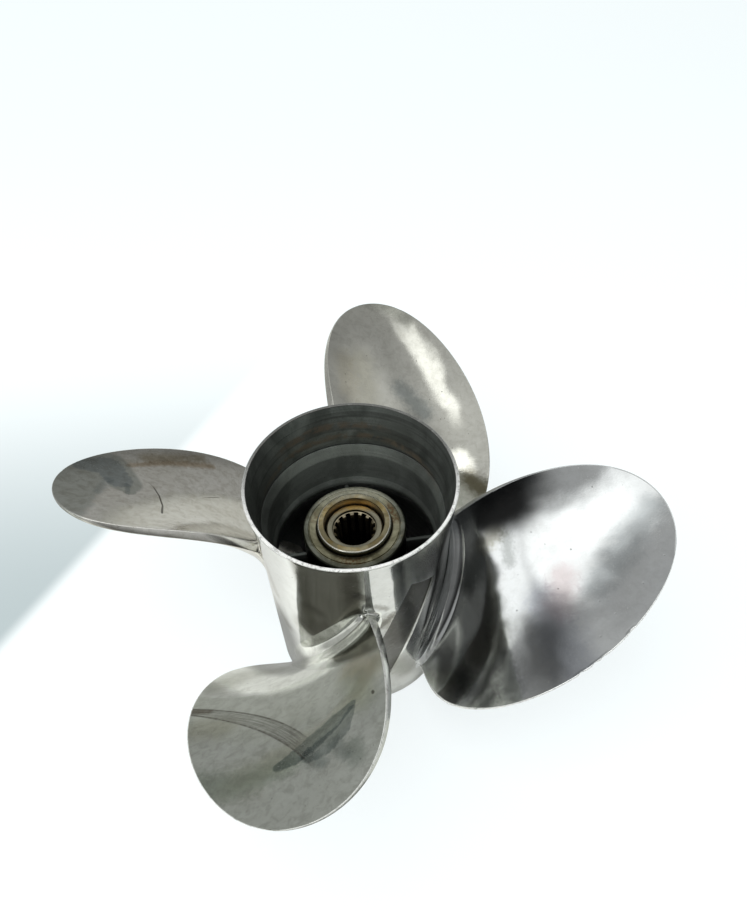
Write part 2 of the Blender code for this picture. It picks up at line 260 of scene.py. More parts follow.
def polishedStainless(name, changes):
    look = {**polishedBase, **changes}
    made, tree, shader, place = startMaterial(name)
    facing = node(tree, "ShaderNodeSeparateXYZ", {0: node(tree, "ShaderNodeTexCoord").outputs["Normal"]}).outputs["Z"]
    upper = fade(tree, facing, 0.0, 0.25)
    parts = node(tree, "ShaderNodeSeparateXYZ", {0: place})
    flat = vectorCalc(tree, "MULTIPLY", place, (1, 1, 0))
    cloud = grain(tree, place, 26, 6, 0.62, 0.7)
    fine = grain(tree, place, 190, 6, 0.7, 0.5)
    ragged = grain(tree, place, 420, 5, 0.7)
    smear = grain(tree, place, 1.0, 6, 0.65, 0.5, (60, 210, 210), look["hairTurn"])
    hairs = grain(tree, place, 1.0, 2, 0.5, 0.1, (46, 2400, 2400), look["hairTurn"])
    crossed = [angle + 62 for angle in look["hairTurn"]]
    hairs = calc(tree, "MAXIMUM", hairs, grain(tree, place, 1.0, 2, 0.5, 0.1, (60, 2900, 2900), crossed))
    scratched = calc(tree, "MULTIPLY", fade(tree, hairs, 0.66, 0.74), fade(tree, cloud, 0.38, 0.62))
    hazy = calc(tree, "MULTIPLY_ADD", smear, 0.45, calc(tree, "MULTIPLY", cloud, 0.55))
    hazy = calc(tree, "MULTIPLY", fade(tree, hazy, 0.38, 0.6), look["film"])
    color = tinted(tree, hazy, hexColor(look["clean"]), hexColor(look["filmColor"]))
    patchy = calc(tree, "MULTIPLY", fade(tree, fine, 0.42, 0.66), look["mottle"])
    color = tinted(tree, patchy, color, hexColor(look["mottleColor"]), "MULTIPLY")
    cells = node(tree, "ShaderNodeTexVoronoi", {"Vector": place, "Scale": 310.0, "Randomness": 1.0})
    chosen = fade(tree, node(tree, "ShaderNodeSeparateColor", {0: cells.outputs["Color"]}).outputs[0], 0.90, 0.94)
    pit = calc(tree, "MULTIPLY", chosen, fade(tree, cells.outputs["Distance"], 0.16, 0.08))
    pit = calc(tree, "MULTIPLY", pit, look["pits"])
    color = tinted(tree, pit, color, hexColor("#3b3733"))
    roughness = calc(tree, "MULTIPLY_ADD", hazy, look["filmRough"], look["roughness"])
    roughness = calc(tree, "MULTIPLY_ADD", patchy, look["mottleRough"], roughness)
    # Painted reflection edge: outside the circle the colour is darkened. This stands in for the line where the blade
    # mirrors a dimmer part of the floor.
    for circle, code, strength in look["paintedReflectionEdges"]:
        mask = fade(tree, fromCircle(tree, flat, circle), -0.0004, 0.0008)
        mask = calc(tree, "MULTIPLY", calc(tree, "MULTIPLY", mask, upper), strength)
        color = tinted(tree, mask, color, hexColor(code), "MULTIPLY")
    # Stains and painted reflections: each mark darkens the colour. Some are real stains and smudges; others are
    # painted reflection where the metal mirrors a darker part of the room.
    for points, code, strength, raggedness in look["stainsAndPaintedReflections"]:
        mask = paintedMark(tree, place, points, ragged if points[0][3] < 8 else fine, raggedness)
        mask = calc(tree, "MULTIPLY", mask, strength)
        if not look["sunken"]:
            mask = calc(tree, "MULTIPLY", mask, upper)
        color = tinted(tree, mask, color, hexColor(code), "MULTIPLY")
        roughness = calc(tree, "MULTIPLY_ADD", mask, 0.06, roughness)
    for inner, outer, first, last, code, strength in look["arcs"]:
        upperEdge, lowerEdge = fromCircle(tree, flat, inner), fromCircle(tree, flat, outer)
        band = calc(tree, "MULTIPLY", fade(tree, upperEdge, 0.0008, -0.0006), fade(tree, lowerEdge, -0.0006, 0.0008))
        lines = node(tree, "ShaderNodeCombineXYZ", {0: calc(tree, "MULTIPLY", upperEdge, 1500.0), 1: calc(tree, "MULTIPLY", parts.outputs["X"], 60.0)}).outputs[0]
        band = calc(tree, "MULTIPLY", band, fade(tree, grain(tree, lines, 1.0, 3, 0.6), 0.35, 0.65, 0.25, 1.0))
        edge = calc(tree, "MINIMUM", calc(tree, "ABSOLUTE", upperEdge), calc(tree, "ABSOLUTE", lowerEdge))
        edge = calc(tree, "MULTIPLY", fade(tree, edge, 0.0009, 0.0001), fade(tree, ragged, 0.3, 0.6, 0.35, 0.9))
        worn = calc(tree, "MAXIMUM", calc(tree, "MULTIPLY", band, 0.55), edge)
        worn = calc(tree, "MULTIPLY", calc(tree, "MULTIPLY", worn, strength), upper)
        worn = calc(tree, "MULTIPLY", worn, fade(tree, parts.outputs["X"], last * mm, first * mm, 0.0, 1.0))
        color = tinted(tree, worn, color, hexColor(code))
        roughness = calc(tree, "MULTIPLY_ADD", worn, 0.15, roughness)
    color = tinted(tree, calc(tree, "MULTIPLY", scratched, look["hair"]), color, hexColor("#e4e4e0"))
    if look["sunken"]:
        rise = calc(tree, "DIVIDE", calc(tree, "SUBTRACT", parts.outputs["Z"], barrel["flareStart"] * mm), barrel["flareLength"] * mm)
        rise = calc(tree, "POWER", calc(tree, "MAXIMUM", rise, 0.0), barrel["flarePower"])
        wall = calc(tree, "MULTIPLY_ADD", rise, barrel["flare"] * mm, barrel["baseRadius"] * mm)
        wall = calc(tree, "MULTIPLY_ADD", parts.outputs["Z"], barrel["taper"], wall)
        sunk = calc(tree, "SUBTRACT", wall, vectorCalc(tree, "LENGTH", flat))
        grimy = calc(tree, "MULTIPLY", fade(tree, sunk, 0.0007, 0.001), fade(tree, sunk, 0.003, 0.0025))
        grimy = calc(tree, "MULTIPLY", grimy, calc(tree, "MULTIPLY", fade(tree, fine, 0.25, 0.5, 0.8, 1.0), look["sunken"]))
        color = tinted(tree, grimy, color, hexColor("#42413b"))
        roughness = calc(tree, "MULTIPLY_ADD", grimy, 0.3, roughness)
    # Painted highlight: along the blade edges and the barrel rim the colour goes near white, less metallic and
    # rougher. It is strongest on the near side, where y is negative.
    edge = node(tree, "ShaderNodeAttribute", attribute_name="edge").outputs["Fac"]
    edge = calc(tree, "MULTIPLY", edge, look["edgeShine"])
    brim = fade(tree, parts.outputs["Z"], 0.1601, 0.1606, 0.0, look["rimShine"])
    edge = calc(tree, "MULTIPLY", calc(tree, "MAXIMUM", edge, brim), fade(tree, ragged, 0.3, 0.5, 0.35, 1.0))
    edge = calc(tree, "MULTIPLY", edge, fade(tree, parts.outputs["Y"], 0.03, -0.03, 0.1, 1.0))
    color = tinted(tree, edge, color, hexColor("#f1f2ef"))
    roughness = calc(tree, "MULTIPLY_ADD", edge, 0.18, roughness)
    tree.links.new(color, shader.inputs["Base Color"])
    tree.links.new(calc(tree, "MULTIPLY_ADD", scratched, 0.12, roughness), shader.inputs["Roughness"])
    tree.links.new(calc(tree, "MULTIPLY_ADD", edge, -0.6, 1.0), shader.inputs["Metallic"])
    wavy = bump(tree, grain(tree, place, look["waveScale"], 1.5, 0.45), look["waveDepth"])
    lined = bump(tree, hairs, look["hairDepth"], 1.0, wavy)
    tree.links.new(bump(tree, calc(tree, "SUBTRACT", 1.0, pit), 0.0001, 1.0, lined), shader.inputs["Normal"])
    return made


# As-cast stainless inside the hub: sandy skin under a dull grey exhaust haze, with brown tide lines near the outlet.
# Painted shade: a dark line under the ledge, darker walls to the left and right, and black where the passages run
# deep; below the ledge the walls are paler except on the shaded sides.
insideLook = {
    "haze": "#8f9690",
    "paleBelowLedge": "#c0c7be",
    "shadow": "#656b66",
    "sootAndShade": "#3c3d3b",
    "brown": "#7d7363",
    "deepBlack": "#0c0d0d",
    "metallic": 0.72,
    "roughness": 0.34,
    "grainDepth": 0.00005,
    "deepest": 0.088,
    "highest": 0.104,
    "ledge": 0.1319,
}


def castInside(name):
    made, tree, shader, place = startMaterial(name)
    parts = node(tree, "ShaderNodeSeparateXYZ", {0: place})
    height = parts.outputs["Z"]
    cloud = grain(tree, place, 40, 6, 0.6, 0.8)
    rings = grain(tree, place, 1.0, 3, 0.5, 0.3, (9, 9, 380))
    sandy = grain(tree, place, 1300, 3, 0.65)
    color = tinted(tree, fade(tree, cloud, 0.35, 0.65), hexColor(insideLook["shadow"]), hexColor(insideLook["haze"]))
    banded = calc(tree, "MULTIPLY", fade(tree, rings, 0.45, 0.62), fade(tree, height, 0.131, 0.136, 0.18, 0.45))
    color = tinted(tree, banded, color, hexColor(insideLook["sootAndShade"]))
    cone = calc(tree, "MULTIPLY", fade(tree, height, 0.1236, 0.1248), fade(tree, height, 0.1316, 0.1308))
    # Painted shade: the wall is darkened towards the left and right sides.
    clearOfSideShade = calc(tree, "MULTIPLY", fade(tree, parts.outputs["X"], 0.040, 0.005, 0.3, 1.0), fade(tree, parts.outputs["X"], -0.052, -0.036, 0.25, 1.0))
    lower = fade(tree, height, 0.131, 0.123, 0.0, 0.15)
    color = tinted(tree, calc(tree, "MULTIPLY_ADD", clearOfSideShade, -0.75, 0.75), color, hexColor(insideLook["sootAndShade"]))
    # Paler below the ledge and on the cone, held back on the shaded sides.
    paleBelowLedge = calc(tree, "MULTIPLY", calc(tree, "MAXIMUM", calc(tree, "MULTIPLY", cone, 0.3), lower), clearOfSideShade)
    color = tinted(tree, paleBelowLedge, color, hexColor(insideLook["paleBelowLedge"]))
    around = calc(tree, "SUBTRACT", calc(tree, "ARCTAN2", parts.outputs["Y"], parts.outputs["X"]), 1.75)
    bowed = calc(tree, "MULTIPLY_ADD", calc(tree, "MULTIPLY", around, around), 0.004, height)
    warped = calc(tree, "MULTIPLY_ADD", cloud, 0.004, bowed)
    broken = fade(tree, grain(tree, place, 130, 5, 0.65, 0.6), 0.36, 0.60)
    tide = fade(tree, calc(tree, "ABSOLUTE", calc(tree, "SUBTRACT", warped, 0.1408)), 0.0034, 0.0008)
    inner = fade(tree, calc(tree, "ABSOLUTE", calc(tree, "SUBTRACT", warped, 0.1492)), 0.0034, 0.0010)
    inner = calc(tree, "MULTIPLY", inner, fade(tree, calc(tree, "ABSOLUTE", around), 0.75, 0.5))
    tide = calc(tree, "MULTIPLY", calc(tree, "MAXIMUM", tide, inner), broken)
    tide = calc(tree, "MULTIPLY", tide, fade(tree, parts.outputs["Y"], 0.005, 0.04, 0.0, 0.8))
    color = tinted(tree, tide, color, hexColor(insideLook["brown"]))
    color = tinted(tree, calc(tree, "MULTIPLY", fade(tree, sandy, 0.56, 0.7), 0.5), color, hexColor(insideLook["sootAndShade"]))
    # Painted shade: a dark line under the ledge.
    line = fade(tree, calc(tree, "ABSOLUTE", calc(tree, "SUBTRACT", height, insideLook["ledge"])), 0.0007, 0.0003)
    color = tinted(tree, calc(tree, "MULTIPLY", line, 0.85), color, hexColor(insideLook["deepBlack"]))
    # Painted shade: black where the passages run deep.
    deep = fade(tree, height, insideLook["highest"], insideLook["deepest"], 0.0, 0.96)
    color = tinted(tree, deep, color, hexColor(insideLook["deepBlack"]))
    tree.links.new(color, shader.inputs["Base Color"])
    below = fade(tree, height, 0.136, 0.130, 0.0, 0.16)
    roughness = calc(tree, "ADD", calc(tree, "MULTIPLY_ADD", cloud, 0.2, insideLook["roughness"] - 0.1), below)
    tree.links.new(roughness, shader.inputs["Roughness"])
    shader.inputs["Metallic"].default_value = insideLook["metallic"]
    ringed = bump(tree, rings, 0.00025)
    tree.links.new(bump(tree, sandy, insideLook["grainDepth"], 1.0, ringed), shader.inputs["Normal"])
    return made


# Turned stainless of the hub's aft end: fine rings from the lathe under an olive salt film, heat gold on the raised
# ring, brown rust in the corner and in two stained places. Painted light and shade: the face darker on the near side
# and lighter on the far side, a bright edge round the raised ring, near-black grime with painted shade at its foot,
# and the hub's side below the face dark.
hubLook = {
    "outerBand": "#86887d",
    "face": "#a5a28a",
    "ringTop": "#a39b80",
    "ringInside": "#f4e4c6",
    "gold": "#a08a55",
    "grimeAndShade": "#26221a",
    "rust": "#54371f",
    "roughness": 0.34,
    "turnedDepth": 0.00004,
}


def turnedHub(name):
    made, tree, shader, place = startMaterial(name)
    parts = node(tree, "ShaderNodeSeparateXYZ", {0: place})
    height = parts.outputs["Z"]
    flat = vectorCalc(tree, "MULTIPLY", place, (1, 1, 0))
    radius = vectorCalc(tree, "LENGTH", flat)
    around = calc(tree, "ARCTAN2", parts.outputs["Y"], parts.outputs["X"])
    lathe = node(tree, "ShaderNodeCombineXYZ", {0: calc(tree, "MULTIPLY", radius, 3200.0), 1: calc(tree, "MULTIPLY", around, 0.7)}).outputs[0]
    turned = grain(tree, lathe, 1.0, 3, 0.6)
    cloud = grain(tree, place, 95, 6, 0.65, 0.6)
    fine = grain(tree, place, 520, 5, 0.7)
    color = tinted(tree, fade(tree, radius, 0.0273, 0.0279), hexColor(hubLook["face"]), hexColor(hubLook["outerBand"]))
    onRing = fade(tree, height, 0.1196, 0.1204)
    color = tinted(tree, onRing, color, hexColor(hubLook["ringTop"]))
    golden = calc(tree, "MULTIPLY", onRing, fade(tree, grain(tree, place, 140, 5, 0.65, 0.5), 0.42, 0.62, 0.0, 0.7))
    color = tinted(tree, golden, color, hexColor(hubLook["gold"]))
    inRing = calc(tree, "MULTIPLY", fade(tree, radius, 0.0185, 0.0183), fade(tree, height, 0.1214, 0.1208))
    color = tinted(tree, inRing, color, hexColor(hubLook["ringInside"]))
    mottled = calc(tree, "MULTIPLY", fade(tree, cloud, 0.36, 0.62), calc(tree, "MULTIPLY_ADD", inRing, -0.6, 0.7))
    color = tinted(tree, mottled, color, hexColor("#8f8c7a"), "MULTIPLY")
    # Painted shade: the face darkens towards the near side, where y is negative.
    paintedNearShade = fade(tree, parts.outputs["Y"], 0.026, -0.026, 0.0, 0.5)
    paintedNearShade = calc(tree, "MULTIPLY", paintedNearShade, calc(tree, "SUBTRACT", 1.0, onRing))
    color = tinted(tree, paintedNearShade, color, hexColor("#8f8d80"), "MULTIPLY")
    # Painted highlight: the far side of the face, where y is positive, is lightened.
    lit = calc(tree, "MULTIPLY", fade(tree, parts.outputs["Y"], 0.014, 0.026), fade(tree, fine, 0.3, 0.6, 0.3, 0.8))
    color = tinted(tree, calc(tree, "MULTIPLY", lit, calc(tree, "SUBTRACT", 1.0, inRing)), color, hexColor("#d3d2bf"))
    # Painted highlight with some wear: the raised ring's outer edge is painted near white all round.
    rubbed = calc(tree, "MULTIPLY", fade(tree, radius, 0.0211, 0.0215), fade(tree, height, 0.1204, 0.1208))
    rubbed = calc(tree, "MULTIPLY", rubbed, fade(tree, fine, 0.25, 0.5, 0.4, 1.0))
    color = tinted(tree, rubbed, color, hexColor("#e9e6da"))
    # Grime and painted shade: near black in the corner at the foot of the raised ring.
    corner = calc(tree, "MULTIPLY", fade(tree, radius, 0.0240, 0.0226), fade(tree, radius, 0.0219, 0.0222))
    corner = calc(tree, "MULTIPLY", corner, fade(tree, height, 0.1200, 0.1184))
    creaseGrimeAndShade = calc(tree, "MULTIPLY", corner, fade(tree, fine, 0.25, 0.5, 0.5, 1.0))
    color = tinted(tree, creaseGrimeAndShade, color, hexColor(hubLook["grimeAndShade"]))
    for angle, spread, strength in ((18, 26, 0.75), (-98, 24, 0.7), (160, 16, 0.3)):
        turnedAway = calc(tree, "WRAP", calc(tree, "SUBTRACT", around, math.radians(angle)), math.pi, -math.pi)
        patch = fade(tree, calc(tree, "ABSOLUTE", turnedAway), math.radians(spread), math.radians(spread * 0.4))
        patch = calc(tree, "MULTIPLY", patch, fade(tree, radius, 0.0226, 0.0236))
        patch = calc(tree, "MULTIPLY", patch, fade(tree, radius, 0.0282, 0.0268))
        patch = calc(tree, "MULTIPLY", calc(tree, "MULTIPLY", patch, fade(tree, fine, 0.42, 0.56)), strength)
        color = tinted(tree, patch, color, hexColor(hubLook["rust"]))
    specks = calc(tree, "MULTIPLY", fade(tree, fine, 0.62, 0.72), 0.6)
    color = tinted(tree, specks, color, hexColor("#b3935a"))
    # Painted shade: below the face the hub goes near black.
    low = fade(tree, height, 0.116, 0.112, 0.0, 0.85)
    color = tinted(tree, low, color, hexColor("#1a1a18"))
    tree.links.new(color, shader.inputs["Base Color"])
    roughness = calc(tree, "MULTIPLY_ADD", cloud, 0.22, hubLook["roughness"] - 0.11)
    tree.links.new(calc(tree, "MULTIPLY_ADD", rubbed, -0.2, roughness), shader.inputs["Roughness"])
    shader.inputs["Metallic"].default_value = 1.0
    pitted = bump(tree, fine, 0.00003)
    tree.links.new(bump(tree, turned, hubLook["turnedDepth"], 0.7, pitted), shader.inputs["Normal"])
    return made


# Bronze sleeve: its rim is rubbed bright and grey by the washer, the splines carry old brown grease. Painted shade
# darkens the groove under the rim, the gaps between the teeth and the bore further down, near black deep inside.
sleeveLook = {
    "rubbed": "#7d7a6a",
    "gold": "#a98d55",
    "teeth": "#b9ae93",
    "greaseAndShade": "#241f18",
    "roughness": 0.30,
}


def rubbedBronze(name):
    made, tree, shader, place = startMaterial(name)
    parts = node(tree, "ShaderNodeSeparateXYZ", {0: place})
    height = parts.outputs["Z"]
    flat = vectorCalc(tree, "MULTIPLY", place, (1, 1, 0))
    radius = vectorCalc(tree, "LENGTH", flat)
    cloud = grain(tree, place, 110, 5, 0.6, 0.5)
    fine = grain(tree, place, 700, 4, 0.65)
    lathe = node(tree, "ShaderNodeCombineXYZ", {0: calc(tree, "MULTIPLY", radius, 4200.0)}).outputs[0]
    turned = grain(tree, lathe, 1.0, 3, 0.6)
    gilded = calc(tree, "MULTIPLY", fade(tree, parts.outputs["Y"], 0.009, 0.015), fade(tree, cloud, 0.2, 0.5))
    color = tinted(tree, gilded, hexColor(sleeveLook["rubbed"]), hexColor(sleeveLook["gold"]))
    bore = fade(tree, radius, 0.0134, 0.0131)
    color = tinted(tree, bore, color, hexColor(sleeveLook["teeth"]))
    color = tinted(tree, calc(tree, "MULTIPLY", fade(tree, fine, 0.5, 0.65), 0.4), color, hexColor("#6a6152"))
    # Painted shade: the groove under the rim is darkened.
    undercut = calc(tree, "MULTIPLY", bore, fade(tree, height, 0.1146, 0.1150))
    undercut = calc(tree, "MULTIPLY", undercut, fade(tree, height, 0.1164, 0.1160))
    color = tinted(tree, undercut, color, hexColor(sleeveLook["greaseAndShade"]))
    # Painted shade: the gaps between the teeth below the rim are darkened.
    between = calc(tree, "MULTIPLY", fade(tree, radius, 0.0119, 0.0125), fade(tree, height, 0.1144, 0.1141))
    color = tinted(tree, calc(tree, "MULTIPLY", between, bore), color, hexColor(sleeveLook["greaseAndShade"]))
    # Grease and painted shade: the bore darkens further down and is near black deep inside.
    greaseAndDepthShade = fade(tree, height, 0.1120, 0.1110, 0.0, 0.6)
    greaseAndDepthShade = calc(tree, "MAXIMUM", greaseAndDepthShade, fade(tree, height, 0.107, 0.095, 0.0, 0.97))
    greaseAndDepthShade = calc(tree, "MULTIPLY", greaseAndDepthShade, bore)
    greaseAndDepthShade = calc(tree, "MULTIPLY", greaseAndDepthShade, fade(tree, fine, 0.2, 0.5, 0.75, 1.0))
    color = tinted(tree, greaseAndDepthShade, color, hexColor(sleeveLook["greaseAndShade"]))
    tree.links.new(color, shader.inputs["Base Color"])
    roughness = calc(tree, "MULTIPLY_ADD", greaseAndDepthShade, 0.22, calc(tree, "MULTIPLY_ADD", cloud, 0.15, sleeveLook["roughness"] - 0.07))
    tree.links.new(roughness, shader.inputs["Roughness"])
    shader.inputs["Metallic"].default_value = 1.0
    worn = bump(tree, fine, 0.00003)
    tree.links.new(bump(tree, turned, 0.00003, 0.6, worn), shader.inputs["Normal"])
    return made


# Moulded nitrile rubber: dead matt black, greyed by salt where water stood, with a fine moulded skin.
def mouldedRubber(name):
    made, tree, shader, place = startMaterial(name)
    cloud = grain(tree, place, 70, 6, 0.65, 0.5)
    skin = grain(tree, place, 1300, 3, 0.6)
    color = tinted(tree, fade(tree, cloud, 0.4, 0.72), hexColor("#191817"), hexColor("#343231"))
    tree.links.new(color, shader.inputs["Base Color"])
    tree.links.new(calc(tree, "MULTIPLY_ADD", cloud, 0.25, 0.6), shader.inputs["Roughness"])
    tree.links.new(bump(tree, skin, 0.00006), shader.inputs["Normal"])
    return made


inside = castInside("asCastExhaustHazedStainless")
print("shared finishes made")


# Outer tube of the hub: tapered, flared at the aft rim, with two sunk panels and a ledge inside.
barrel = {
    "columns": 448,
    "baseRadius": 56.0,
    "taper": 0.0095,
    "flareStart": 104.0,
    "flareLength": 56.0,
    "flare": 3.45,
    "flarePower": 2.3,
    "panelCorners": ((-96.0, 37.5), (-77.0, 27.4), (-41.2, 113.4), (-60.2, 126.2)),
    "panelRadius": 57.0,
}

barrelFinish = {
    "roughness": 0.04,
    "film": 0.16,
    "mottle": 0.14,
    "sunken": 0.85,
    "edgeShine": 0.0,
    "rimShine": 0.9,
    "stainsAndPaintedReflections": (
        # The first band, broad and crisp down the front, and the last two dark grey bands to its right are painted
        # reflection of darker parts of the room.
        (((-18, -58, 172, 19.0), (-18, -56, 118, 18.4), (-27, -49, 88, 12.5)), "#939086", 0.95, 0.2),
        (((-5, -59, 153, 5.5), (-5, -57, 112, 5.5)), "#a5a298", 0.85, 1.5),
        (((19, -54, 42, 8), (25, -50, 26, 8)), "#b8b8b0", 0.8, 1.5),
        (((-2, -59, 134, 3.5), (3, -58, 128, 3.0)), "#6f695f", 0.7, 1.8),
        (((-30, -49, 112, 4), (-24, -53, 108, 4)), "#98948a", 0.6, 1.9),
        (((-34, -45, 84, 9), (-22, -52, 92, 8)), "#a19c90", 0.5, 1.6),
        (((-53, -20, 122, 4), (-50, -28, 96, 4)), "#b9b4a8", 0.6, 1.8),
        (((-53, -21, 80, 4), (-46, -33, 66, 4)), "#b9b4a8", 0.6, 1.8),
        (((18, -54, 104, 2.5), (6, -57, 90, 2.5)), "#8b867b", 0.7, 1.9),
        (((14, -57, 100, 6), (22, -53, 70, 8)), "#a09c92", 0.7, 1.9),
        (((8, -58, 118, 2.5), (14, -56, 112, 2.0)), "#8b867b", 0.6, 1.9),
        (((27, -53, 158, 10), (35, -47, 126, 9)), "#6c7172", 0.9, 1.2),
        (((37, -45, 150, 7), (45, -36, 118, 9), (48, -30, 84, 9)), "#717574", 0.85, 1.3),
    ),
}


def barrelRadius(height):
    rise = max(0.0, height - barrel["flareStart"]) / barrel["flareLength"]
    return barrel["baseRadius"] + barrel["taper"] * height + barrel["flare"] * rise ** barrel["flarePower"]


outerWall = [(barrelRadius(height), height) for height in [159.6 - 1.8 * step for step in range(88)]]
rim = [(58.9, 160.6), (59.0, 160.86), (59.15, 160.97), (59.35, 161.0), (60.55, 161.0), (60.75, 160.95), (60.88, 160.78), (60.94, 160.4)]
foot = [(56.0, 0.9), (55.9, 0.5), (55.65, 0.15), (55.3, 0.0), (54.0, 0.0), (53.2, 0.0), (52.75, 0.2), (52.5, 0.6)]
innerWall = softCorners(
    [
        (52.4, 2.0, 0),
        (51.9, 16.0, 3),
        (51.5, 50.0, 6),
        (51.2, 84.0, 6),
        (50.6, 94.0, 4),
        (49.0, 98.6, 0.8),
        (49.2, 100.4, 0.8),
        (50.7, 103.6, 1.0),
        (51.0, 113.0, 3),
        (51.2, 123.6, 1.2),
        (53.7, 131.3, 0.4),
        (54.3, 131.7, 0.1),
        (54.0, 132.3, 0.2),
        (55.4, 143.0, 12),
        (58.8, 160.0, 0),
    ],
    6,
)
tube = turnProfile("barrelTube", rim + outerWall + foot + innerWall[:-1], barrel["columns"])
print("barrel turned", len(tube.data.polygons))

# The name panels: a plate bent round the barrel, flared where it leaves the wall so that its edge is rounded.
panelLevels = ((1.1, -0.75), (1.07, -0.42), (0.95, -0.18), (0.7, -0.04), (0.4, 0.04), (0.18, 0.14), (0.06, 0.3), (-0.02, 0.56), (-0.6, 2.6))


def panelCutter(turn):
    deselectAll()
    bpy.ops.mesh.primitive_grid_add(x_subdivisions=24, y_subdivisions=60, size=1)
    cutter = bpy.context.object
    cutter.name = "panelCutter"
    corners = [Vector((math.radians(angle) * barrel["panelRadius"], height, 0)) for angle, height in barrel["panelCorners"]]
    shape = bmesh.new()
    shape.from_mesh(cutter.data)
    for vertex in shape.verts:
        across, upward = vertex.co.x + 0.5, vertex.co.y + 0.5
        vertex.co = corners[0].lerp(corners[1], across).lerp(corners[3].lerp(corners[2], across), upward)
    edges = [edge for edge in shape.edges if edge.is_boundary]
    outline = list(dict.fromkeys(vertex for edge in edges for vertex in edge.verts))
    middle = (corners[0] + corners[1] + corners[2] + corners[3]) / 4
    outward = {}
    for vertex in outline:
        around = [edge.other_vert(vertex).co - vertex.co for edge in vertex.link_edges if edge.is_boundary]
        along = (around[0].normalized() - around[1].normalized()).normalized()
        side = Vector((along.y, -along.x, 0))
        if side.dot(vertex.co - middle) < 0:
            side = -side
        corner = around[0].normalized().dot(around[1].normalized())
        outward[vertex.index] = (vertex, side / max(0.5, math.sqrt((1 - corner) / 2)))
    inner = [vertex for vertex in shape.verts if vertex not in outline]
    floorFaces = [list(face.verts) for face in shape.faces]
    floorLevel, floorInset = panelLevels[0]
    start = {key: vertex.co.copy() for key, (vertex, side) in outward.items()}
    for key, (vertex, side) in outward.items():
        vertex.co = start[key] + side * floorInset
    for vertex in shape.verts:
        vertex.co.z = -floorLevel
    lower = {key: pair[0] for key, pair in outward.items()}
    for level, inset in panelLevels[1:]:
        upper = {}
        for key, (vertex, side) in outward.items():
            spot = start[key] + side * inset
            upper[key] = shape.verts.new((spot.x, spot.y, -level))
        for edge in edges:
            one, other = (vertex.index for vertex in edge.verts)
            shape.faces.new((lower[one], lower[other], upper[other], upper[one]))
        lower = upper
    for vertex in inner:
        lower[vertex.index] = shape.verts.new((vertex.co.x, vertex.co.y, -panelLevels[-1][0]))
    for corners in floorFaces:
        shape.faces.new([lower[vertex.index] for vertex in reversed(corners)])
    for vertex in shape.verts:
        angle = vertex.co.x / barrel["panelRadius"] + turn
        radius = barrelRadius(vertex.co.y) + vertex.co.z
        vertex.co = (radius * math.cos(angle) * mm, radius * math.sin(angle) * mm, vertex.co.y * mm)
    bmesh.ops.recalc_face_normals(shape, faces=shape.faces[:])
    shape.to_mesh(cutter.data)
    shape.free()
    return cutter


for index in range(2):
    cutter = panelCutter(math.pi * index)
    pick(tube)
    cut = tube.modifiers.new("panel", "BOOLEAN")
    cut.object = cutter
    cut.solver = "EXACT"
    bpy.ops.object.modifier_apply(modifier="panel")
    bpy.data.objects.remove(cutter)
print("panels cut", len(tube.data.polygons))

finishPiece(tube, [polishedStainless("polishedCastStainlessBarrel", barrelFinish), inside], ["barrel"], 30)
for face in tube.data.polygons:
    middle = face.center
    away = math.hypot(middle.x, middle.y)
    outwards = (face.normal.x * middle.x + face.normal.y * middle.y) / away
    face.material_index = 1 if outwards < 0.2 and away < 0.0587 and middle.z < 0.1603 else 0


# Blades: one surface bent round a right-hand screw, its root flaring tangent into the barrel.
blade = {
    "azimuth": -115.0,
    "rootRadius": 57.2,
    "tipRadius": 181.0,
    "skew": (0.0, -3.0, 3.0, 10.0),
    "chord": (105.0, 169.0, 178.0),
    "outlinePower": 2.1,
    "height": (66.0, 104.0, 139.0),
    "pitch": (585.0, 505.0, 510.0),
    "trailing": (5.6, 4.7, 1.4),
    "leading": (2.2, 1.2, 0.9),
    "thickening": (6.5, 2.8, 0.3),
    "hollow": 0.010,
    "faceFillet": 13.0,
    "backFillet": 9.0,
    "endFillet": 4.0,
    "edgeRounding": 0.6,
    "edgeBand": 1.7,
    "faceColumns": 84,
    "backColumns": 48,
    "filletRows": 14,
    "spanRows": 84,
    "sunk": 0.8,
    "dentDepth": 0.8,
    "dentReach": 2.2,
}
